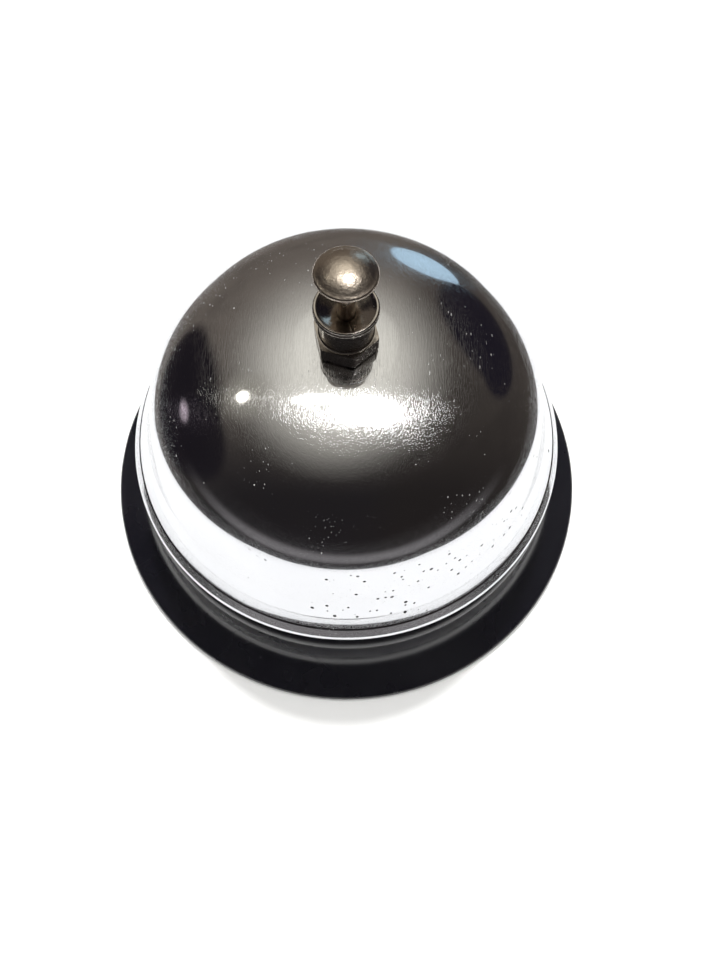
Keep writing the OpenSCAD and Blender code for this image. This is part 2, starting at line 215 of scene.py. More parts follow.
class Graph:
    """The nodes of a material or a world. self.point is where its textures are read."""

    def __init__(self, owner):
        owner.use_nodes = True
        self.tree = owner.node_tree
        self.tree.nodes.clear()
        self.coord = self.tree.nodes.new("ShaderNodeTexCoord")
        self.point = None

    def link(self, a, b):
        """Links an output to an input."""
        self.tree.links.new(a, b)

    def put(self, socket, value):
        """Sets a socket from a number, a colour or another socket."""
        if isinstance(value, bpy.types.NodeSocket):
            self.link(value, socket)
        elif isinstance(value, (tuple, list)) and len(value) == 3 and socket.type == "RGBA":
            socket.default_value = (*value, 1)
        else:
            socket.default_value = value

    def vector(self, operation, a, b=None, scale=None):
        """A vector operation: a number for a length or a dot product, otherwise a vector."""
        node = self.tree.nodes.new("ShaderNodeVectorMath")
        node.operation = operation
        self.put(node.inputs[0], a)
        if b is not None:
            self.put(node.inputs[1], b)
        if scale is not None:
            node.inputs["Scale"].default_value = scale
        return node.outputs["Value" if operation in ("LENGTH", "DOT_PRODUCT") else "Vector"]

    def math(self, operation, a, b=0.0, clamp=False):
        """An operation on numbers."""
        node = self.tree.nodes.new("ShaderNodeMath")
        node.operation = operation
        node.use_clamp = clamp
        self.put(node.inputs[0], a)
        self.put(node.inputs[1], b)
        return node.outputs[0]

    def times(self, a, b):
        """Product of two numbers."""
        return self.math("MULTIPLY", a, b)

    def plus(self, a, b):
        """Sum of two numbers."""
        return self.math("ADD", a, b)

    def larger(self, a, b):
        """The larger of two numbers."""
        return self.math("MAXIMUM", a, b)

    def turned(self, stretch, angles=(0, 0, 0)):
        """Coordinates turned by angles in degrees, then stretched."""
        node = self.tree.nodes.new("ShaderNodeMapping")
        self.link(self.point, node.inputs["Vector"])
        node.inputs["Rotation"].default_value = [math.radians(a) for a in angles]
        node.inputs["Scale"].default_value = stretch
        return node.outputs["Vector"]

    def noise(self, scale, detail=3.0, rough=0.5, at=None, warp=0.0):
        """Cloudy noise from 0 to 1."""
        node = self.tree.nodes.new("ShaderNodeTexNoise")
        self.link(at or self.point, node.inputs["Vector"])
        node.inputs["Scale"].default_value = scale
        node.inputs["Detail"].default_value = detail
        node.inputs["Roughness"].default_value = rough
        node.inputs["Distortion"].default_value = warp
        return node.outputs["Fac"]

    def cells(self, scale, at=None):
        """Distance to the nearest of scattered points, and two random numbers for that point."""
        node = self.tree.nodes.new("ShaderNodeTexVoronoi")
        self.link(at or self.point, node.inputs["Vector"])
        node.inputs["Scale"].default_value = scale
        split = self.tree.nodes.new("ShaderNodeSeparateColor")
        self.link(node.outputs["Color"], split.inputs["Color"])
        return node.outputs["Distance"], split.outputs["Red"], split.outputs["Green"]

    def range(self, value, low_in, high_in, low_out=0.0, high_out=1.0):
        """A smooth step: low_out at low_in, high_out at high_in."""
        node = self.tree.nodes.new("ShaderNodeMapRange")
        node.interpolation_type = "SMOOTHSTEP"
        self.put(node.inputs["Value"], value)
        self.put(node.inputs["From Min"], low_in)
        self.put(node.inputs["From Max"], high_in)
        self.put(node.inputs["To Min"], low_out)
        self.put(node.inputs["To Max"], high_out)
        return node.outputs["Result"]

    def mix(self, share, a, b):
        """Colour a, turning into colour b as share goes from 0 to 1."""
        node = self.tree.nodes.new("ShaderNodeMix")
        node.data_type = "RGBA"
        self.put(node.inputs["Factor"], share)
        self.put(node.inputs[6], a)
        self.put(node.inputs[7], b)
        return node.outputs[2]

    def specks(self, scale, size, share, at=None):
        """Mask of round specks: size is their radius in millimetres, share how many cells hold one."""
        distance, pick, spread = self.cells(scale, at)
        radius = self.range(spread, 0.0, 1.0, size * scale * 0.45, size * scale)
        near = self.math("LESS_THAN", distance, radius)
        chosen = self.math("LESS_THAN", pick, share)
        return self.times(near, chosen)

    def scratches(self, angles, across, along, keep):
        """Mask of fine hairlines lying one way."""
        line = self.noise(1.0, 1.0, 0.4, self.turned((across, along, across), angles))
        return self.range(line, keep, keep + 0.04)

    def split(self):
        """The point's X, Y and Z."""
        node = self.tree.nodes.new("ShaderNodeSeparateXYZ")
        self.link(self.point, node.inputs[0])
        return node.outputs

    def from_axis(self):
        """Distance from the Z axis."""
        x, y, _ = self.split()
        return self.math("SQRT", self.plus(self.times(x, x), self.times(y, y)))

    def bump(self, height, distance, strength=1.0, normal=None):
        """Bump from a height of 0 to 1; distance is its depth in millimetres."""
        node = self.tree.nodes.new("ShaderNodeBump")
        node.inputs["Strength"].default_value = strength
        node.inputs["Distance"].default_value = distance * MM
        self.put(node.inputs["Height"], height)
        if normal is not None:
            self.link(normal, node.inputs["Normal"])
        return node.outputs["Normal"]


class Surface(Graph):
    """A material's nodes, with their textures read in millimetres of the row's frame."""

    def __init__(self, name):
        self.material = bpy.data.materials.new(name)
        super().__init__(self.material)
        self.point = self.vector("SCALE", self.coord.outputs["Object"], scale=1 / MM)
        self.shader = self.tree.nodes.new("ShaderNodeBsdfPrincipled")
        out = self.tree.nodes.new("ShaderNodeOutputMaterial")
        self.link(self.shader.outputs["BSDF"], out.inputs["Surface"])

    def finish(self, **sockets):
        """Sets the shader's sockets by name and gives the material."""
        for name, value in sockets.items():
            self.put(self.shader.inputs[name.replace("_", " ")], value)
        return self.material


# ---------------------------------------------------------------- materials


def chrome():
    """Bright chrome plate: rubbing marks that glow round highlights, dust, and dark pits on the skirt."""
    g = Surface("gong_chrome")
    x, y, z = g.split()
    hair = g.scratches((0, 0, 25), 9.0, 0.35, 0.60)
    for angles in ((0, 0, 80), (0, 0, 140), (25, 40, 5)):
        hair = g.larger(hair, g.scratches(angles, 8.0, 0.3, 0.61))
    haze = g.noise(0.06, 3.0, 0.6)
    fine = g.noise(6.5, 2.0, 0.7)
    grain = g.times(g.range(fine, 0.52, 0.66), g.range(haze, 0.35, 0.65, 0.45, 1.0))
    dust = g.specks(0.42, 0.10, 0.24)
    dust = g.larger(dust, g.specks(0.9, 0.05, 0.20))
    lint = g.times(g.scratches((0, 0, 60), 5.5, 0.9, 0.74), g.range(g.noise(0.12), 0.5, 0.6))
    on_skirt = g.times(g.range(z, 19.6, 21.0), g.range(z, 34.5, 32.0))
    to_right = g.range(g.math("SUBTRACT", g.times(x, 0.75), g.times(y, 0.65)), -8, 30)
    clusters = g.range(g.noise(0.13, 2.0), 0.62, 0.44)
    share = g.times(g.times(to_right, clusters), 0.48)
    distance, pick, spread = g.cells(0.95)
    pit = g.math("LESS_THAN", distance, g.range(spread, 0.0, 1.0, 0.07, 0.27))
    pit = g.times(g.times(pit, g.math("LESS_THAN", pick, share)), on_skirt)
    tone = g.mix(g.noise(0.09, 2.0), (0.70, 0.71, 0.745), (0.76, 0.77, 0.80))
    tone = g.mix(g.times(hair, 0.2), tone, (0.64, 0.64, 0.66))
    loose = g.larger(dust, lint)
    tone = g.mix(loose, tone, (0.55, 0.55, 0.53))
    tone = g.mix(pit, tone, (0.015, 0.014, 0.014))
    rough = g.plus(g.times(grain, 0.040), g.times(hair, 0.05))
    rough = g.plus(rough, g.times(g.range(haze, 0.3, 0.7), 0.03))
    rough = g.plus(rough, 0.02)
    rough = g.larger(rough, g.times(g.larger(loose, pit), 0.7))
    metal = g.math("SUBTRACT", 1.0, g.larger(loose, pit), clamp=True)
    wave = g.bump(g.noise(0.055, 1.0), 0.05)
    lines = g.bump(hair, -0.002, normal=wave)
    marks = g.bump(g.math("SUBTRACT", loose, pit), 0.05, normal=lines)
    rubbed = g.bump(g.larger(g.times(hair, 0.4), grain), 0.006)
    return g.finish(
        Base_Color=tone,
        Metallic=metal,
        Roughness=rough,
        Normal=marks,
        Coat_Weight=0.32,
        Coat_Roughness=0.20,
        Coat_Normal=rubbed,
    )


def nickel(name, tint, dark, peel, rough_low, rough_high):
    """Nickel plate over a casting or a turned part: a soft orange-peel skin with duller patches."""
    g = Surface(name)
    skin = g.noise(1.9, 2.0, 0.55)
    patch = g.noise(0.55, 3.0, 0.6, warp=0.4)
    fine = g.noise(11.0, 2.0, 0.6)
    dots = g.specks(3.2, 0.05, 0.22)
    tone = g.mix(g.range(patch, 0.35, 0.7), tint, dark)
    tone = g.mix(g.times(dots, 0.7), tone, (0.62, 0.60, 0.56))
    both = g.plus(g.times(patch, 0.6), g.times(fine, 0.4))
    rough = g.range(both, 0.3, 0.7)
    rough = g.plus(g.times(rough, rough_high - rough_low), rough_low)
    rough = g.plus(rough, g.times(dots, 0.25))
    first = g.bump(skin, peel)
    second = g.bump(fine, 0.0025, normal=first)
    return g.finish(Base_Color=tone, Metallic=1.0, Roughness=rough, Normal=second)


def enamel():
    """Gloss black stoved enamel: slightly bluish, faint orange peel, dust, rubbed a little on the rim."""
    g = Surface("black_enamel")
    peel = g.noise(0.55, 2.0, 0.5)
    cloud = g.noise(0.07, 3.0, 0.6)
    dust = g.larger(g.specks(0.5, 0.07, 0.22), g.specks(1.1, 0.04, 0.2))
    at_rim = g.range(g.from_axis(), BASE_R - 0.5, BASE_R - 0.05)
    rim = g.times(at_rim, g.range(g.noise(0.7, 4.0), 0.58, 0.66))
    tone = g.mix(cloud, (0.0040, 0.0038, 0.0062), (0.0080, 0.0078, 0.0115))
    tone = g.mix(g.times(dust, 0.55), tone, (0.42, 0.42, 0.42))
    tone = g.mix(g.times(rim, 0.5), tone, (0.10, 0.10, 0.105))
    rough = g.range(cloud, 0.3, 0.7, 0.24, 0.34)
    rough = g.plus(rough, g.times(g.larger(dust, rim), 0.3))
    first = g.bump(peel, 0.012)
    second = g.bump(dust, 0.03, normal=first)
    return g.finish(
        Base_Color=tone, Roughness=rough, Normal=second, Coat_Weight=0.3, Coat_Roughness=0.14
    )


def rubber(name):
    """Matt black moulded rubber with a fine grain and grey bloom."""
    g = Surface(name)
    grain = g.noise(5.0, 4.0, 0.6)
    bloom = g.noise(0.16, 4.0, 0.6, warp=0.5)
    tone = g.mix(g.range(bloom, 0.4, 0.75), (0.016, 0.016, 0.016), (0.042, 0.041, 0.040))
    tone = g.mix(g.times(g.specks(0.8, 0.06, 0.3), 0.6), tone, (0.3, 0.29, 0.27))
    rough = g.range(grain, 0.3, 0.7, 0.62, 0.86)
    return g.finish(Base_Color=tone, Roughness=rough, Normal=g.bump(grain, 0.02), Specular_IOR_Level=0.35)


def metal_sheet(name, light, dark, low_rough, high_rough, angles, spangle=0.25):
    """Bare or zinc-plated steel: rolling marks one way, cloudy plating, small stains."""
    g = Surface(name)
    rolled = g.noise(1.0, 2.0, 0.6, g.turned((3.2, 0.12, 3.2), angles))
    cloud = g.noise(spangle, 4.0, 0.6, warp=0.8)
    stain = g.range(g.noise(0.8, 4.0, 0.65), 0.60, 0.72)
    tone = g.mix(g.range(cloud, 0.35, 0.65), dark, light)
    tone = g.mix(g.times(rolled, 0.35), tone, dark)
    tone = g.mix(g.times(stain, 0.6), tone, (0.16, 0.13, 0.10))
    both = g.plus(g.times(rolled, 0.5), g.times(cloud, 0.5))
    rough = g.range(both, 0.3, 0.7)
    rough = g.plus(g.times(rough, high_rough - low_rough), low_rough)
    rough = g.plus(rough, g.times(stain, 0.2))
    first = g.bump(rolled, 0.008)
    second = g.bump(g.noise(7.0, 3.0), 0.006, normal=first)
    return g.finish(Base_Color=tone, Metallic=1.0, Roughness=rough, Normal=second)


def turned_metal(name, light, dark, low_rough, high_rough, pitch):
    """Turned bar: fine tool rings round the Z axis, tarnish in patches."""
    g = Surface(name)
    path = g.plus(g.plus(g.split()[2], g.from_axis()), g.times(g.noise(0.5, 1.0), pitch))
    tool = g.math("SINE", g.times(path, 2 * math.pi / pitch))
    tarnish = g.noise(0.45, 4.0, 0.6, warp=0.6)
    tone = g.mix(g.range(tarnish, 0.38, 0.66), light, dark)
    rough = g.plus(g.range(tarnish, 0.3, 0.7, low_rough, high_rough), g.times(tool, 0.03))
    first = g.bump(tool, 0.003)
    second = g.bump(g.noise(9.0, 2.0), 0.003, normal=first)
    return g.finish(Base_Color=tone, Metallic=1.0, Roughness=rough, Normal=second)


def fibre():
    """Red vulcanised fibre: mottled, waxy, with short fibres."""
    g = Surface("fibre_washer")
    strand = g.noise(1.0, 3.0, 0.6, g.turned((6.0, 0.8, 6.0), (0, 0, 35)))
    mottle = g.noise(0.9, 4.0, 0.6)
    tone = g.mix(g.range(mottle, 0.35, 0.65), (0.20, 0.035, 0.022), (0.31, 0.065, 0.035))
    tone = g.mix(g.times(g.range(strand, 0.58, 0.7), 0.6), tone, (0.42, 0.16, 0.09))
    rough = g.range(strand, 0.3, 0.7, 0.48, 0.66)
    return g.finish(Base_Color=tone, Roughness=rough, Normal=g.bump(strand, 0.02))


CHROME = chrome()
CAST = nickel("nickel_die_cast", (0.50, 0.465, 0.43), (0.36, 0.33, 0.30), 0.02, 0.14, 0.26)
TURNED = nickel("nickel_turned", (0.66, 0.58, 0.50), (0.52, 0.45, 0.385), 0.045, 0.26, 0.37)
ENAMEL = enamel()
FOOT_RUBBER = rubber("foot_rubber")
BUMPER_RUBBER = rubber("bumper_rubber")
ZINC = metal_sheet("zinc_plate", (0.63, 0.65, 0.68), (0.44, 0.46, 0.49), 0.26, 0.44, (0, 0, 0))
LEVER = metal_sheet("lever_steel", (0.50, 0.50, 0.51), (0.33, 0.33, 0.34), 0.28, 0.46, (-REST_ANGLE, 0, 0))
RIVET = turned_metal("rivet_steel", (0.55, 0.55, 0.56), (0.36, 0.35, 0.34), 0.24, 0.42, 0.16)
SPRING = turned_metal("spring_steel", (0.52, 0.52, 0.53), (0.34, 0.34, 0.36), 0.20, 0.34, 0.11)
POST = turned_metal("post_brass", (0.76, 0.58, 0.30), (0.50, 0.35, 0.17), 0.20, 0.38, 0.14)
CLAPPER = turned_metal("clapper_brass", (0.78, 0.60, 0.31), (0.46, 0.31, 0.15), 0.18, 0.40, 0.18)
FIBRE = fibre()


# ---------------------------------------------------------------- gong


def unit(angle):
    """Unit vector in the (r, z) plane; angle in degrees from outwards, turning up."""
    return Vector((math.cos(math.radians(angle)), math.sin(math.radians(angle))))


def gong_section():
    """Cap, two-part shoulder, skirt, creased flare, stepped band, rolled edge, and the inside face."""
    wall, seat_r, hole_r = 0.9, 5.5, 2.7
    cap_r, cap_slope = 54.0, 21.0
    wide_r, turn_slope, tight_r, skirt_slope, skirt_z = 20.3, 55.0, 6.3, 76.0, 24.8
    flare_r, flare_slope, band_slope, bead_r, lip_end = 14.0, 52.0, 49.0, 1.2, -30.0
    crease_r, crease_depth, crease_width = 32.95, 0.03, 0.15
    step_width, step_slope = 0.25, 40.0
    cap_c = Vector((0, CROWN_Z - math.sqrt(cap_r**2 - seat_r**2)))
    wide_c = cap_c + (cap_r - wide_r) * unit(90 - cap_slope)
    tight_c = wide_c + (wide_r - tight_r) * unit(90 - turn_slope)
    turn_end = tight_c + tight_r * unit(90 - skirt_slope)
    skirt_end = Vector((turn_end.x + (turn_end.y - skirt_z) / math.tan(math.radians(skirt_slope)), skirt_z))
    flare_c = skirt_end + flare_r * unit(90 - skirt_slope)
    bead_c = Vector((LIP_R - bead_r, low("gong").z - bead_r * math.sin(math.radians(lip_end))))
    band_end = bead_c + bead_r * unit(90 - band_slope)
    bead_in = bead_r - wall
    flare_in = flare_r + wall
    flare_end = flare_c + flare_r * unit(270 - flare_slope)
    seat_soft = 1.2
    outside = rows_between((hole_r + 0.15, CROWN_Z), (seat_r - seat_soft, CROWN_Z), 0.8)
    first = math.degrees(math.asin((seat_r + seat_soft) / cap_r))
    outside += arc(cap_c, cap_r, 90 - first, 90 - cap_slope, 0.8)
    outside += arc(wide_c, wide_r, 90 - cap_slope, 90 - turn_slope, 1.2)
    outside += arc(tight_c, tight_r, 90 - turn_slope, 90 - skirt_slope, 2.0)
    outside += rows_between(tuple(turn_end), tuple(skirt_end), 0.8)
    foot = arc(flare_c, flare_r, 270 - skirt_slope, 270 - flare_slope, 0.2)
    step = flare_end + step_width * Vector((1, -math.tan(math.radians(step_slope))))
    foot += rows_between(tuple(flare_end), tuple(step), 0.05)[1:]
    foot += rows_between(tuple(step), tuple(band_end), 0.05)[1:]
    for r, z in foot:
        dent = crease_depth * math.exp(-(((r - crease_r) / crease_width) ** 2))
        into = -unit(90 - band_slope)
        outside.append((r + into.x * dent, z + into.y * dent))
    roll_end = lip_end + 20
    outside += arc(bead_c, bead_r, 90 - band_slope, roll_end, 4.0)
    curl = bead_c + (bead_r - wall / 2) * unit(roll_end)
    outside += arc(curl, wall / 2, roll_end, roll_end - 180, 20.0)
    inside = arc(bead_c, bead_in, roll_end, 90 - band_slope, 15.0)
    inside += arc(flare_c, flare_in, 270 - flare_slope, 270 - skirt_slope, 1.5)
    inside += arc(tight_c, tight_r - wall, 90 - skirt_slope, 90 - turn_slope, 3.0)
    inside += arc(wide_c, wide_r - wall, 90 - turn_slope, 90 - cap_slope, 2.0)
    inside += arc(cap_c, cap_r - wall, 90 - cap_slope, 90 - first * cap_r / (cap_r - wall), 1.0)
    inside += [(seat_r - seat_soft, CROWN_Z - wall), (hole_r + 0.15, CROWN_Z - wall)]
    inside += arc(Vector((hole_r + 0.15, CROWN_Z - wall + 0.15)), 0.15, 270, 180, 45)
    inside += arc(Vector((hole_r + 0.15, CROWN_Z - 0.15)), 0.15, 180, 90, 45)
    return outside + inside


def make_gong():
    """The gong, very slightly out of round, as pressed sheet is."""

    def uneven(r, z, a):
        out = 0.012 * math.sin(2 * a + 0.7) + 0.008 * math.sin(5 * a + z * 0.11)
        near_axis = min(1.0, r / 20)
        near_lip = min(1.0, (LIP_R - 0.03 - r) / 0.5) if r > LIP_R - 0.6 else 1.0
        return r + out * near_axis * near_lip, z

    piece("gong_shell", spin(gong_section(), ROUND, uneven), CHROME, "root", ["gong"], 50)


# ---------------------------------------------------------------- base and foot


def make_base():
    """Pressed base: deck, round shoulder, steep wall, cove, sloping flange, turned-down rim."""
    bend, wall_slope, flange_slope = 2.0, 86.0, 27.0
    deck_r, cove_z, cove_r, rim_z = 33.9, 6.4, 3.5, low("base_shell").z
    bend_c = Vector((deck_r, DECK_Z - bend))
    wall_top = bend_c + bend * unit(90 - wall_slope)
    run_out = (wall_top.y - cove_z) / math.tan(math.radians(wall_slope))
    wall_end = Vector((wall_top.x + run_out, cove_z))
    cove_c = wall_end - cove_r * unit(270 - wall_slope)
    cove_end = cove_c + cove_r * unit(270 - flange_slope)
    rim_x = BASE_R - BASE_SHEET
    flange_run = rim_x + BASE_SHEET * math.sin(math.radians(flange_slope)) - cove_end.x
    fall = flange_run * math.tan(math.radians(flange_slope))
    rim_c = Vector((rim_x, cove_end.y - fall - BASE_SHEET * math.cos(math.radians(flange_slope))))
    flange_end = rim_c + BASE_SHEET * unit(90 - flange_slope)
    section = rows_between((0, DECK_Z), (deck_r, DECK_Z), 3.0)
    section += arc(bend_c, bend, 90, 90 - wall_slope, 3)
    section += rows_between(tuple(wall_top), tuple(wall_end), 1.0)
    section += arc(cove_c, cove_r, 270 - wall_slope, 270 - flange_slope, 3)
    section += rows_between(tuple(cove_end), tuple(flange_end), 1.0)
    section += arc(rim_c, BASE_SHEET, 90 - flange_slope, 0, 6)
    section += arc(Vector((BASE_R - 0.15, rim_z + 0.15)), 0.15, 0, -90, 30)
    section += arc(Vector((rim_x + 0.15, rim_z + 0.15)), 0.15, 270, 180, 30)
    section += [tuple(rim_c)]
    section += arc(cove_c, cove_r + BASE_SHEET, 270 - flange_slope, 270 - wall_slope, 4)
    section += arc(bend_c, bend - BASE_SHEET, 90 - wall_slope, 90, 8)
    section += rows_between((deck_r, DECK_Z - BASE_SHEET), (0, DECK_Z - BASE_SHEET), 5.0)
    piece("base_pressing", spin(section, ROUND), ENAMEL, "root", ["base_shell"], 50)
    return rim_c, rim_x, flange_slope


def make_foot(rim_c, rim_x, flange_slope):
    """Rubber ring under the flange, with two fine grooves moulded in its tread."""
    r_in, r_out = BASE_R - 4.4, BASE_R - 1.3
    tall = [
        rim_c.y + (rim_x - r) * math.tan(math.radians(flange_slope)) - 0.02 for r in (r_in, r_out)
    ]
    corners = [(r_in, 0, 0.35)]
    for middle_r in (r_in + 1.0, r_in + 2.1):
        corners += [(middle_r - 0.28, 0, 0.1), (middle_r, 0.3, 0.08), (middle_r + 0.28, 0, 0.1)]
    corners += [(r_out, 0, 0.35), (r_out, tall[1], 0.1), (r_in, tall[0], 0.1)]
    solid = spin(rounded(corners, 0.1), ROUND)
    piece("foot_tread", solid, FOOT_RUBBER, "root", ["foot_ring"])


# ---------------------------------------------------------------- guide nut and other nuts


def hex_radius(across_flats, corner_limit, turn, a):
    """Radius of a hexagon at angle a, its corners eased off at corner_limit."""
    off = (a - turn) % (math.pi / 3) - math.pi / 6
    flat = across_flats / 2 / math.cos(off)
    ease = 0.035
    over = flat - corner_limit
    if over <= -12 * ease:
        return flat
    return -ease * math.log(math.exp(-over / ease) + 1) + corner_limit


def soft_min(a, b, ease=0.03):
    """The smaller of two numbers, with the change from one to the other rounded."""
    low_one, gap = min(a, b), abs(a - b)
    return low_one - ease * math.log(1 + math.exp(-gap / ease))


def hex_rows(af, z0, z1, share=0.6):
    """Rows (r, z) up the outside of a hexagon: r is the chamfer's own radius at that height."""
    corner = af / 2 / math.cos(math.pi / 6)
    reach = corner - af / 2
    chamfer = reach * share
    start = corner - reach * min(1.0, 1.5 * share)
    rows = []
    for k in range(9):
        t = k / 8
        rows.append((start + (corner - start) * t, z0 + chamfer * t))
    rows += rows_between((corner + 0.01, z0 + chamfer + 0.04), (corner + 0.01, z1 - chamfer - 0.04), 0.3)
    for k in range(9):
        t = 1 - k / 8
        rows.append((start + (corner - start) * t, z1 - chamfer * t))
    return rows


def nut(af, bore, z0, z1, turn):
    """Plain hexagon nut with both ends chamfered and its bore countersunk."""
    outer = hex_rows(af, z0, z1)
    limit = af / 2 / math.cos(math.pi / 6) - 0.05
    section = [(bore + 0.25, z0), *outer, (bore + 0.25, z1), (bore, z1 - 0.25), (bore, z0 + 0.25)]

    def shape(r, z, a):
        if r < af / 2 - 0.01:
            return r, z
        return soft_min(r, hex_radius(af, limit, turn, a)), z

    return spin(section, 192, shape)


def make_guide_nut():
    """Die-cast nut on the gong: round face, hexagon, neck, grooved collar, cone-shaped dish, mould line."""
    af, neck_r, collar_r, bore, rod_bore = 8.0, 3.65, 4.3, 2.52, 1.25
    z0, top = low("guide_nut").z, high("guide_nut").z
    hex_top = z0 + 2.65
    collar_low = top - 1.1
    ledge = 50.45
    dish_r, dish_floor_r, dish, face_r, face_h = 3.85, 1.4, 1.45, 3.9, 0.35
    limit = af / 2 / math.cos(math.pi / 6) - 0.03
    section = [(bore + 0.2, z0), (face_r - 0.1, z0), (face_r, z0 + 0.1), (face_r, z0 + face_h)]
    section += hex_rows(af, z0 + face_h, hex_top, 0.14)
    section += [(af / 2 - 0.1, hex_top)]
    section += arc(Vector((neck_r + 0.18, hex_top + 0.18)), 0.18, 270, 180, 15)
    section += rows_between((neck_r, hex_top + 0.3), (neck_r, collar_low - 0.3), 0.35)
    section += arc(Vector((neck_r + 0.2, collar_low - 0.2)), 0.2, 180, 90, 15)
    low_bead = Vector((collar_r - 0.24, collar_low + 0.24))
    high_bead = Vector((collar_r - 0.24, top - 0.24))
    section += arc(low_bead, 0.24, 270, 385, 10)
    section += [(collar_r - 0.14, (low_bead.y + high_bead.y) / 2)]
    section += arc(high_bead, 0.24, 325, 450, 8)
    section += arc(Vector((dish_r + 0.10, top - 0.16)), 0.16, 90, 150, 12)
    section += rows_between((dish_r - 0.12, top - 0.16), (dish_floor_r, top - dish), 0.4)
    section += [(rod_bore, top - dish - 0.15)]
    section += [(rod_bore, ledge), (bore, ledge), (bore, z0 + 0.2)]

    def shape(r, z, a):
        if z <= hex_top + 1e-6 and r > af / 2 - 0.01:
            return soft_min(r, hex_radius(af, limit, HEX_TURN, a)), z
        off = (a - HEX_TURN + math.pi) % (2 * math.pi) - math.pi
        off_cone = (r - dish_floor_r) / (dish_r - dish_floor_r) - (z - top + dish) / dish
        if z > top - dish + 0.05 and abs(off_cone) < 0.12 and r < dish_r:
            return r, z - 0.06 * math.exp(-((off * r / 0.09) ** 2))
        if z > hex_top and r > neck_r - 0.05:
            ridge = 0.055 * math.exp(-((off * r / 0.11) ** 2))
            back = 0.04 * math.exp(-(((abs(off) - math.pi) * r / 0.11) ** 2))
            room = max(0.0, min(1.0, (collar_r - r) / 0.06)) if r > collar_r - 0.06 else 1.0
            return r + (ridge + back) * room, z
        return r, z

    solid = spin(section, 384, shape)
    piece("guide_nut_casting", solid, CAST, "root", ["guide_nut"], 32)


# ---------------------------------------------------------------- post, washers, spring


def make_post():
    """Threaded post with its flange; the thread is a true helix."""
    r_out, bore_high, bore_low = 2.5, 1.75, 1.05
    flange_r, flange_z, flange_h = 5.0, high("striker_frame").z, 1.8
    z0, z1, step_z = low("centre_post").z, high("centre_post").z, 30.0
    pitch, depth = 0.8, 0.36
    section = [(bore_low + 0.15, z0), (r_out - 0.4, z0)]
    section += rows_between((r_out, z0 + 0.35), (r_out, flange_z - 0.3), 0.09)
    section += [(r_out, flange_z)]
    flange = [(r_out + 0.4, flange_z, 0), (flange_r, flange_z)]
    flange += [(flange_r, flange_z + flange_h), (r_out + 0.4, flange_z + flange_h, 0)]
    section += rounded(flange, 0.25)
    section += [(r_out, flange_z + flange_h)]
    section += rows_between((r_out, flange_z + flange_h + 0.3), (r_out, z1 - 0.35), 0.09)
    section += [(r_out - 0.4, z1), (bore_high + 0.2, z1), (bore_high, z1 - 0.2)]
    section += [(bore_high, step_z), (bore_low, step_z), (bore_low, z0 + 0.15)]

    def thread(r, z, a):
        if abs(r - r_out) > 1e-6 or flange_z - 0.31 < z < flange_z + flange_h + 0.29:
            return r, z
        ends = min(z - z0, z1 - z, abs(z - flange_z), abs(z - flange_z - flange_h))
        phase = (z / pitch - a / (2 * math.pi)) % 1.0
        groove = min(1.0, 1.15 * (1 - abs(2 * phase - 1)))
        return r - depth * groove * min(1.0, ends / 0.6), z

    piece("post_threaded", spin(section, SMALL, thread), POST, "root", ["centre_post"], 60)


def make_spring():
    """Return spring: closed end turns, open turns between, ends flattened over 0.4 of a turn."""
    wire, mean_r, turns = 0.4, 1.37, 12
    seat = high("spring_seat").z
    z0, z1 = seat + wire / 2, low("spring_retainer").z - wire / 2
    closed = wire * 1.05
    pitch = (z1 - z0 - 2 * closed) / turns
    steps, sides = 28, 12
    rings = (turns + 2) * steps
    verts, faces = [], []
    for i in range(rings + 1):
        t = i / steps
        z = z0 + closed * min(t, 1) + pitch * min(max(t - 1, 0), turns) + closed * max(t - 1 - turns, 0)
        a = 2 * math.pi * t
        end = min(t, turns + 2 - t)
        flat = 0.72 + 0.28 * min(1.0, end / 0.4)
        for k in range(sides):
            b = 2 * math.pi * k / sides
            r = mean_r + wire / 2 * math.cos(b)
            verts.append((r * math.cos(a), r * math.sin(a), z + wire / 2 * flat * math.sin(b)))
    for i in range(rings):
        for k in range(sides):
            n = (k + 1) % sides
            faces.append([i * sides + k, i * sides + n, (i + 1) * sides + n, (i + 1) * sides + k])
    faces.append(list(range(sides)))
    faces.append([rings * sides + k for k in range(sides)])
    spring = piece("spring_coil", (verts, faces), SPRING, "root", ["return_spring"], 60)
    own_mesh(spring)


def make_nuts_and_washers():
    """Lock nut, support nut, fibre washer and the spring's seat."""
    nut_af = 8.0
    bore = 2.52
    z0, z1 = low("post_lock_nut").z, high("post_lock_nut").z
    piece("lock_nut", nut(nut_af, bore, z0, z1, 0.0), ZINC, "root", ["post_lock_nut"], 30)
    z0, z1 = low("gong_support_nut").z, high("gong_support_nut").z
    solid = nut(nut_af, bore, z0, z1, 0.0)
    piece("support_nut", solid, ZINC, "root", ["gong_support_nut"], 30)
    z0, z1 = low("gong_washer").z, high("gong_washer").z
    piece("washer_fibre", ring(bore, 5.2, z0, z1, 0.12), FIBRE, "root", ["gong_washer"])
    z0, z1 = low("spring_seat").z, high("spring_seat").z
    piece("seat_ring", ring(1.05, 1.7, z0, z1, 0.08), SPRING, "root", ["spring_seat"])


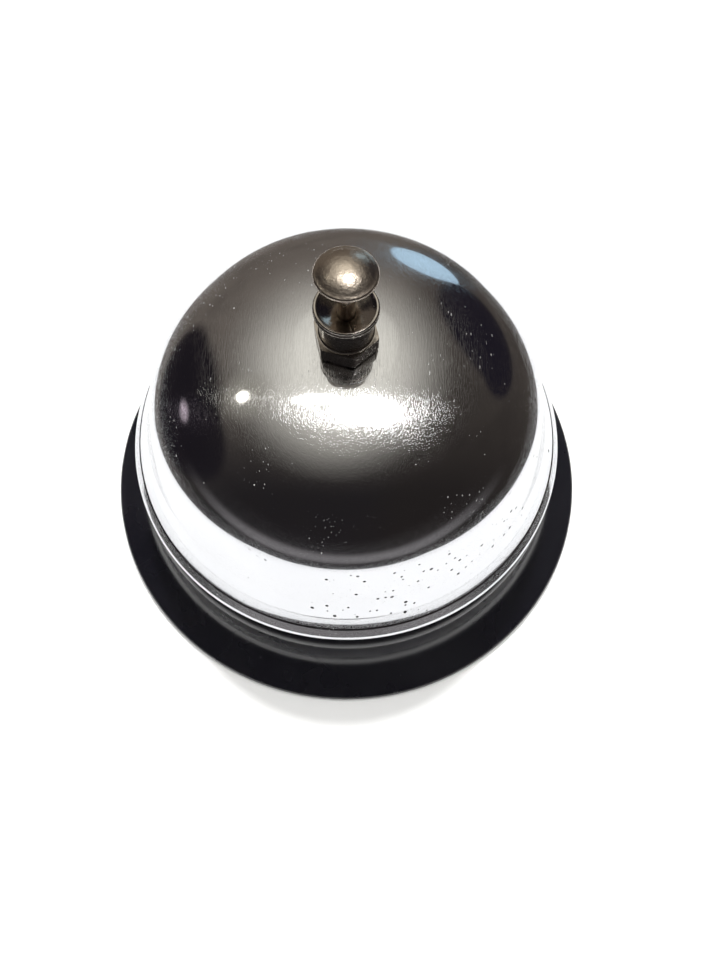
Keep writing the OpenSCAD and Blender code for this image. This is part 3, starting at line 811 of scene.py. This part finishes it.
def make_rivets():
    """Two rivets through the frame's feet and the deck: domed heads above, pressed tails below."""
    seat = DECK_Z + FRAME_SHEET
    under = DECK_Z - BASE_SHEET
    head_r, head_h, tail_r, tail_h, shank_r = 2.7, 1.3, 2.4, 0.9, 1.5
    ball = (head_r**2 + head_h**2) / (2 * head_h)
    reach = math.degrees(math.asin((head_r - 0.06) / ball))
    dome = arc(Vector((0, seat + head_h - ball)), ball, 90, 90 - reach, 4)
    rivet = dome + [(head_r, seat + 0.08), (head_r - 0.05, seat), (shank_r, seat), (shank_r, under)]
    rivet += [(tail_r - 0.1, under), (tail_r, under - 0.15), (tail_r, under - tail_h + 0.3)]
    rivet += arc(Vector((tail_r - 0.3, under - tail_h + 0.3)), 0.3, 0, -90, 20)
    rivet += [(0.9, under - tail_h), (0.55, under - tail_h + 0.25), (0, under - tail_h + 0.3)]
    x = middle("frame_rivets").x + (high("frame_rivets").x - low("frame_rivets").x) / 2 - head_r
    y = middle("frame_rivets").y
    both = [placed(spin(rivet, 64), Matrix.Translation((side * x, y, 0))) for side in (-1, 1)]
    piece("rivet_pair", joined(*both), RIVET, "root", ["frame_rivets"])


def make_bumper():
    """Rubber stop pushed through the deck, with a domed top and a knob below."""
    under = DECK_Z - BASE_SHEET
    top, foot = high("hammer_bumper").z, low("hammer_bumper").z
    stop_r, dome_r, peg_r, knob_r = 2.5, 4.0, 1.2, 1.8
    edge_z = top - dome_r + math.sqrt(dome_r**2 - (stop_r - 0.15) ** 2)
    reach = math.degrees(math.asin((stop_r - 0.15) / dome_r))
    bumper = arc(Vector((0, top - dome_r)), dome_r, 90, 90 - reach, 3)
    bumper += [(stop_r - 0.05, edge_z - 0.08), (stop_r, edge_z - 0.25)]
    bumper += [(stop_r, DECK_Z + 0.15), (stop_r - 0.15, DECK_Z)]
    bumper += [(peg_r, DECK_Z), (peg_r, under - 0.02), (knob_r - 0.15, under - 0.02), (knob_r, under - 0.2)]
    bumper += [(knob_r - 0.05, foot + 0.7), (peg_r - 0.3, foot + 0.05), (peg_r - 0.5, foot), (0, foot)]
    solid = placed(spin(bumper, 64), Matrix.Translation((0, middle("hammer_bumper").y, 0)))
    piece("bumper_stop", solid, BUMPER_RUBBER, "root", ["hammer_bumper"])


def make_pivot():
    """Headed pin along X with a groove for its clip, and the two spacers on it."""
    pin_low, pin_high = low("pivot_pin").x, high("pivot_pin").x
    head_r, head_h, pin_r, groove, groove_x = 1.9, 0.9, 1.0, 0.2, 10.3
    pin = [(0, pin_low)] + arc(Vector((head_r - 0.35, pin_low + 0.35)), 0.35, 270, 360, 15)
    pin += [(head_r, pin_low + head_h - 0.1), (head_r - 0.1, pin_low + head_h), (pin_r, pin_low + head_h)]
    pin += [(pin_r, groove_x), (pin_r - groove, groove_x + 0.02), (pin_r - groove, groove_x + 0.58)]
    pin += [(pin_r, groove_x + 0.6), (pin_r, pin_high - 0.3), (pin_r - 0.3, pin_high), (0, pin_high)]
    lay = along_x(PIVOT.y, PIVOT.z)
    piece("pivot_pin_turned", placed(spin(pin, 64), lay), RIVET, "root", ["pivot_pin"])
    inner, outer = 7.85, 8.95
    sides = [placed(ring(1.02, 2.2, s * inner, s * outer, 0.1, 64), lay) for s in (-1, 1)]
    piece("spacer_pair", joined(*sides), POST, "root", ["pivot_spacers"])


# ---------------------------------------------------------------- plunger and hammer


def make_plunger():
    """Push button, rod and the retainer crimped on the rod."""
    top = high("plunger_button").z
    r, edge, head_h, boss_r, boss_h = high("plunger_button").x, 0.35, 1.9, 1.7, 1.0
    under = top - head_h
    shell_r = r - edge
    rise = head_h - 2 * edge
    dome_r = (shell_r**2 + rise**2) / (2 * rise)
    fillet = 0.22
    reach = math.degrees(math.asin((shell_r - fillet) / dome_r))
    section = arc(Vector((0, top - dome_r)), dome_r, 90, 90 - reach, 1.5)
    section += arc(Vector((shell_r, under + edge)), edge, 70, -90, 8)
    section += [(shell_r - 0.3, under + 0.03), (boss_r + 0.35, under + 0.24)]
    section += arc(Vector((boss_r + 0.2, under + 0.06)), 0.2, 90, 180, 20)
    section += arc(Vector((boss_r - 0.15, under - boss_h + 0.15)), 0.15, 0, -90, 20)
    section += [(0, under - boss_h)]
    piece("button_cap", spin(section, 160), TURNED, "plunger", ["plunger_button"], 50)

    rod_high, rod_low, step_z, tip_z = 1.2, 1.0, low("spring_retainer").z, low("plunger_rod").z
    rod = [(0, under - 0.2), (rod_high, under - 0.2)]
    rod += rows_between((rod_high, under - 0.4), (rod_high, step_z + 0.1), 2.0)
    rod += [(rod_high - 0.1, step_z), (rod_low, step_z)]
    rod += rows_between((rod_low, step_z - 0.2), (rod_low, tip_z + rod_low), 3.0)
    rod += arc(Vector((0, tip_z + rod_low)), rod_low, 0, -90, 8)
    piece("rod_turned", spin(rod, 72), TURNED, "plunger", ["plunger_rod"], 50)
    z0, z1 = low("spring_retainer").z, high("spring_retainer").z
    clip = ring(rod_high, 1.7, z0, z1, 0.12, 72)
    piece("retainer_ring", clip, SPRING, "plunger", ["spring_retainer"])


def make_clapper():
    """Brass clapper with a struck flat, and the rivet that holds it to the lever."""
    ball_r, lift, seat = 3.8, 1.2, -1.6
    start = math.degrees(math.asin((seat - lift) / ball_r))
    band = arc(Vector((0, lift)), ball_r, start, 90, 3)
    section = [(0, seat), (ball_r * math.cos(math.radians(start)) - 0.12, seat)]
    for r, z in band[1:]:
        line = 0.04 * math.exp(-(((z - lift) / 0.12) ** 2))
        section.append((max(0.0, r - line), z))
    section[-1] = (0, section[-1][1])
    at_arm = HAMMER @ Matrix.Translation((0, ARM, 0))
    solid = placed(spin(section, SMALL), at_arm)
    piece("clapper_ball", solid, CLAPPER, "hammer", ["clapper"])

    foot = seat - 1.2
    rivet = [(0, foot - 0.7)] + arc(Vector((1.3, foot - 0.25)), 0.45, 270, 355, 15)
    rivet += [(1.8, foot - 0.12), (1.7, foot), (1.0, foot), (1.0, seat + 0.4), (0, seat + 0.4)]
    solid = placed(spin(rivet, 64), at_arm)
    piece("clapper_rivet_head", solid, RIVET, "hammer", ["clapper_rivet"])


def dress_cad_nodes():
    """CAD nodes whose shape is right keep it and get their materials."""
    kept = {
        "striker_frame": ZINC,
        "post_lock_washer": RIVET,
        "pin_clip": SPRING,
        "hammer_lever": LEVER,
    }
    for name, material in kept.items():
        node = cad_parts[name]
        node.data.materials.clear()
        node.data.materials.append(material)


make_gong()
make_foot(*make_base())
make_guide_nut()
make_post()
make_spring()
make_nuts_and_washers()
make_rivets()
make_bumper()
make_pivot()
make_plunger()
make_clapper()
dress_cad_nodes()


# ---------------------------------------------------------------- studio


def stage_mesh(name, verts, faces, material, **shows):
    """A stage mesh in metres; shows sets which rays see it."""
    mesh = bpy.data.meshes.new(name)
    mesh.from_pydata(verts, [], faces)
    mesh.shade_smooth()
    mesh.materials.append(material)
    obj = bpy.data.objects.new(name, mesh)
    scene.collection.objects.link(obj)
    for flag, value in shows.items():
        setattr(obj, flag, value)
    return obj


def pale_floor(name, shade, glow=0.0):
    """White card: very faint fibre mottling. Far from the bell it glows as a lit studio wall does."""
    g = Surface(name)
    tone = g.mix(g.noise(0.02, 3.0), [s * 0.985 for s in shade], shade)
    if glow:
        far = g.range(g.vector("LENGTH", g.point), 600.0, 2600.0, 0.0, glow)
        g.put(g.shader.inputs["Emission Color"], shade)
        g.put(g.shader.inputs["Emission Strength"], far)
    return g.finish(Base_Color=tone, Roughness=0.7, Specular_IOR_Level=0.2)


def make_stage():
    """A white sheet under the bell, and the pale floor and bowl-shaped backdrop of the studio round it."""
    near_x, near_y, drop = 0.105, 0.15, 0.0002
    near = [(-near_x, -near_y, 0), (near_x, -near_y, 0), (near_x, near_y, 0), (-near_x, near_y, 0)]
    white = (0.82, 0.82, 0.815)
    stage_mesh("floor_sheet", near, [(0, 1, 2, 3)], pale_floor("sheet_card", white))
    flat_r, bowl_r, wall_low, wall_top = 2.2, 1.4, 2.4, 3.4
    profile = [(r, -drop) for r in (0.0, 0.3, 1.0, flat_r)]
    for degrees in range(6, 91, 6):
        a = math.radians(degrees)
        profile.append((flat_r + bowl_r * math.sin(a), -drop + bowl_r * (1 - math.cos(a))))
    profile += [(flat_r + bowl_r, wall_low), (flat_r + bowl_r, wall_top)]
    count = 96
    verts, faces = [(0, 0, -drop)], []
    for r, z in profile[1:]:
        for i in range(count):
            a = 2 * math.pi * i / count
            verts.append((r * math.cos(a), r * math.sin(a), z))
    for i in range(count):
        j = (i + 1) % count
        faces.append((0, 1 + i, 1 + j))
        for k in range(len(profile) - 2):
            start = 1 + k * count
            faces.append((start + i, start + count + i, start + count + j, start + j))
    card = pale_floor("backdrop_card", white, 0.6)
    stage_mesh("floor_backdrop", verts, faces, card, visible_glossy=False)


def lamp(name, place, size, radiance, colour=(1, 1, 1), glossy=True, diffuse=True, spread=180.0):
    """Elliptical area lamp aimed at the bell, level along X; radiance is its face's brightness."""
    data = bpy.data.lights.new(name, "AREA")
    data.shape = "ELLIPSE"
    data.size, data.size_y = size
    area = math.pi * size[0] * size[1] / 4
    data.energy = radiance * math.pi * area
    data.color = colour
    data.spread = math.radians(spread)
    obj = bpy.data.objects.new(name, data)
    scene.collection.objects.link(obj)
    back = (Vector(place) - Vector((0, 0, 0.02))).normalized()
    across = Vector((0, 1, 0)).cross(back).normalized()
    turn = Matrix((across, back.cross(across), back)).transposed()
    obj.matrix_world = Matrix.Translation(place) @ turn.to_4x4()
    obj.visible_camera = False
    obj.visible_glossy = glossy
    obj.visible_diffuse = diffuse
    return obj


def make_lamps():
    """Soft lamps that whiten the floor, and the lamps that the chrome mirrors."""
    lamp("overhead_soft", (0.0, 0.15, 1.7), (2.2, 2.2), 1.30, glossy=False)
    lamp("back_key", (0.0, 0.55, 1.15), (0.075, 0.075), 820.0, glossy=False)
    lamp("ceiling_strip", (0.19, 0.13, 1.6), (0.64, 0.28), 15.0, (1.0, 0.985, 0.95))
    lamp("ceiling_wing", (-0.30, 0.25, 1.6), (0.50, 0.10), 4.0, (1.0, 0.97, 0.93), diffuse=False)
    lamp("left_spot", (-0.93, 0.32, 1.26), (0.13, 0.11), 4.0, (1.0, 0.96, 0.84), diffuse=False)


def room_world():
    """The room round the table, seen only in reflections: lit ceiling, walls, window, dark furniture."""
    world = bpy.data.worlds.new("room")
    scene.world = world
    g = Graph(world)
    g.point = g.vector("NORMALIZE", g.coord.outputs["Generated"])
    x, y, z = g.split()
    tone = g.mix(g.range(y, -0.6, 0.85), (0.018, 0.016, 0.017), (0.165, 0.14, 0.118))
    tone = g.mix(g.range(x, 0.12, 0.42, 0.0, 0.62), tone, (0.022, 0.018, 0.016))
    mottled = g.noise(3.5, 3.0)
    tone = g.mix(g.range(mottled, 0.35, 0.75, 0.0, 0.35), tone, (0.02, 0.017, 0.016))
    patches = (
        # direction, weights of its axes, inner and outer edge, colour
        ((-0.05, 0.34, 0.93), (1.08, 1, 0.5), 0.18, 0.72, (0.93, 0.89, 0.78)),  # lit ceiling
        ((-1.0, 0.25, 0.35), (1, 0.55, 0.55), 0.32, 0.39, (0.013, 0.011, 0.014)),  # furniture, left
        ((0.66, 0.58, 0.34), (1, 0.85, 1.2), 0.31, 0.37, (0.014, 0.012, 0.018)),  # furniture, right
        ((0.31, 0.92, 0.20), (1, 0.5, 1.2), 0.15, 0.17, (0.58, 0.80, 0.96)),  # window
        ((-0.57, 0.22, 0.79), (1, 1, 1), 0.03, 0.20, (0.32, 0.30, 0.25)),  # glow on the ceiling
        ((-0.96, 0.16, 0.24), (1, 1, 1), 0.03, 0.10, (0.60, 0.50, 0.55)),  # small lamp
    )
    for centre, weights, inner, outer, colour in patches:
        off = g.vector("MULTIPLY", g.vector("SUBTRACT", g.point, centre), weights)
        tone = g.mix(g.range(g.vector("LENGTH", off), inner, outer, 1.0, 0.0), tone, colour)
    table_edge = g.times(g.range(z, 0.17, 0.05), g.range(z, -0.06, 0.01))
    near_front = g.times(g.range(y, -0.10, -0.95), table_edge)
    tone = g.mix(near_front, tone, (0.26, 0.245, 0.245))
    back = g.tree.nodes.new("ShaderNodeBackground")
    g.link(tone, back.inputs["Color"])
    out = g.tree.nodes.new("ShaderNodeOutputWorld")
    g.link(back.outputs[0], out.inputs["Surface"])
    world.cycles_visibility.camera = False
    world.cycles_visibility.diffuse = False


def make_camera():
    """Camera at the photograph's viewing angle."""
    place = Vector((0.00195, -0.05672, 0.13568))
    down, roll = 68.576, 1.472  # degrees below level, and about its own axis
    data = bpy.data.cameras.new("camera")
    data.sensor_width = 36.0
    data.lens = 28.53
    data.clip_start, data.clip_end = 0.005, 20.0
    camera = bpy.data.objects.new("camera", data)
    camera.matrix_world = (
        Matrix.Translation(place)
        @ Matrix.Rotation(math.radians(90 - down), 4, "X")
        @ Matrix.Rotation(math.radians(roll), 4, "Z")
    )
    scene.collection.objects.link(camera)
    scene.camera = camera


make_stage()
make_lamps()
room_world()
make_camera()
scene.view_settings.view_transform = "Standard"
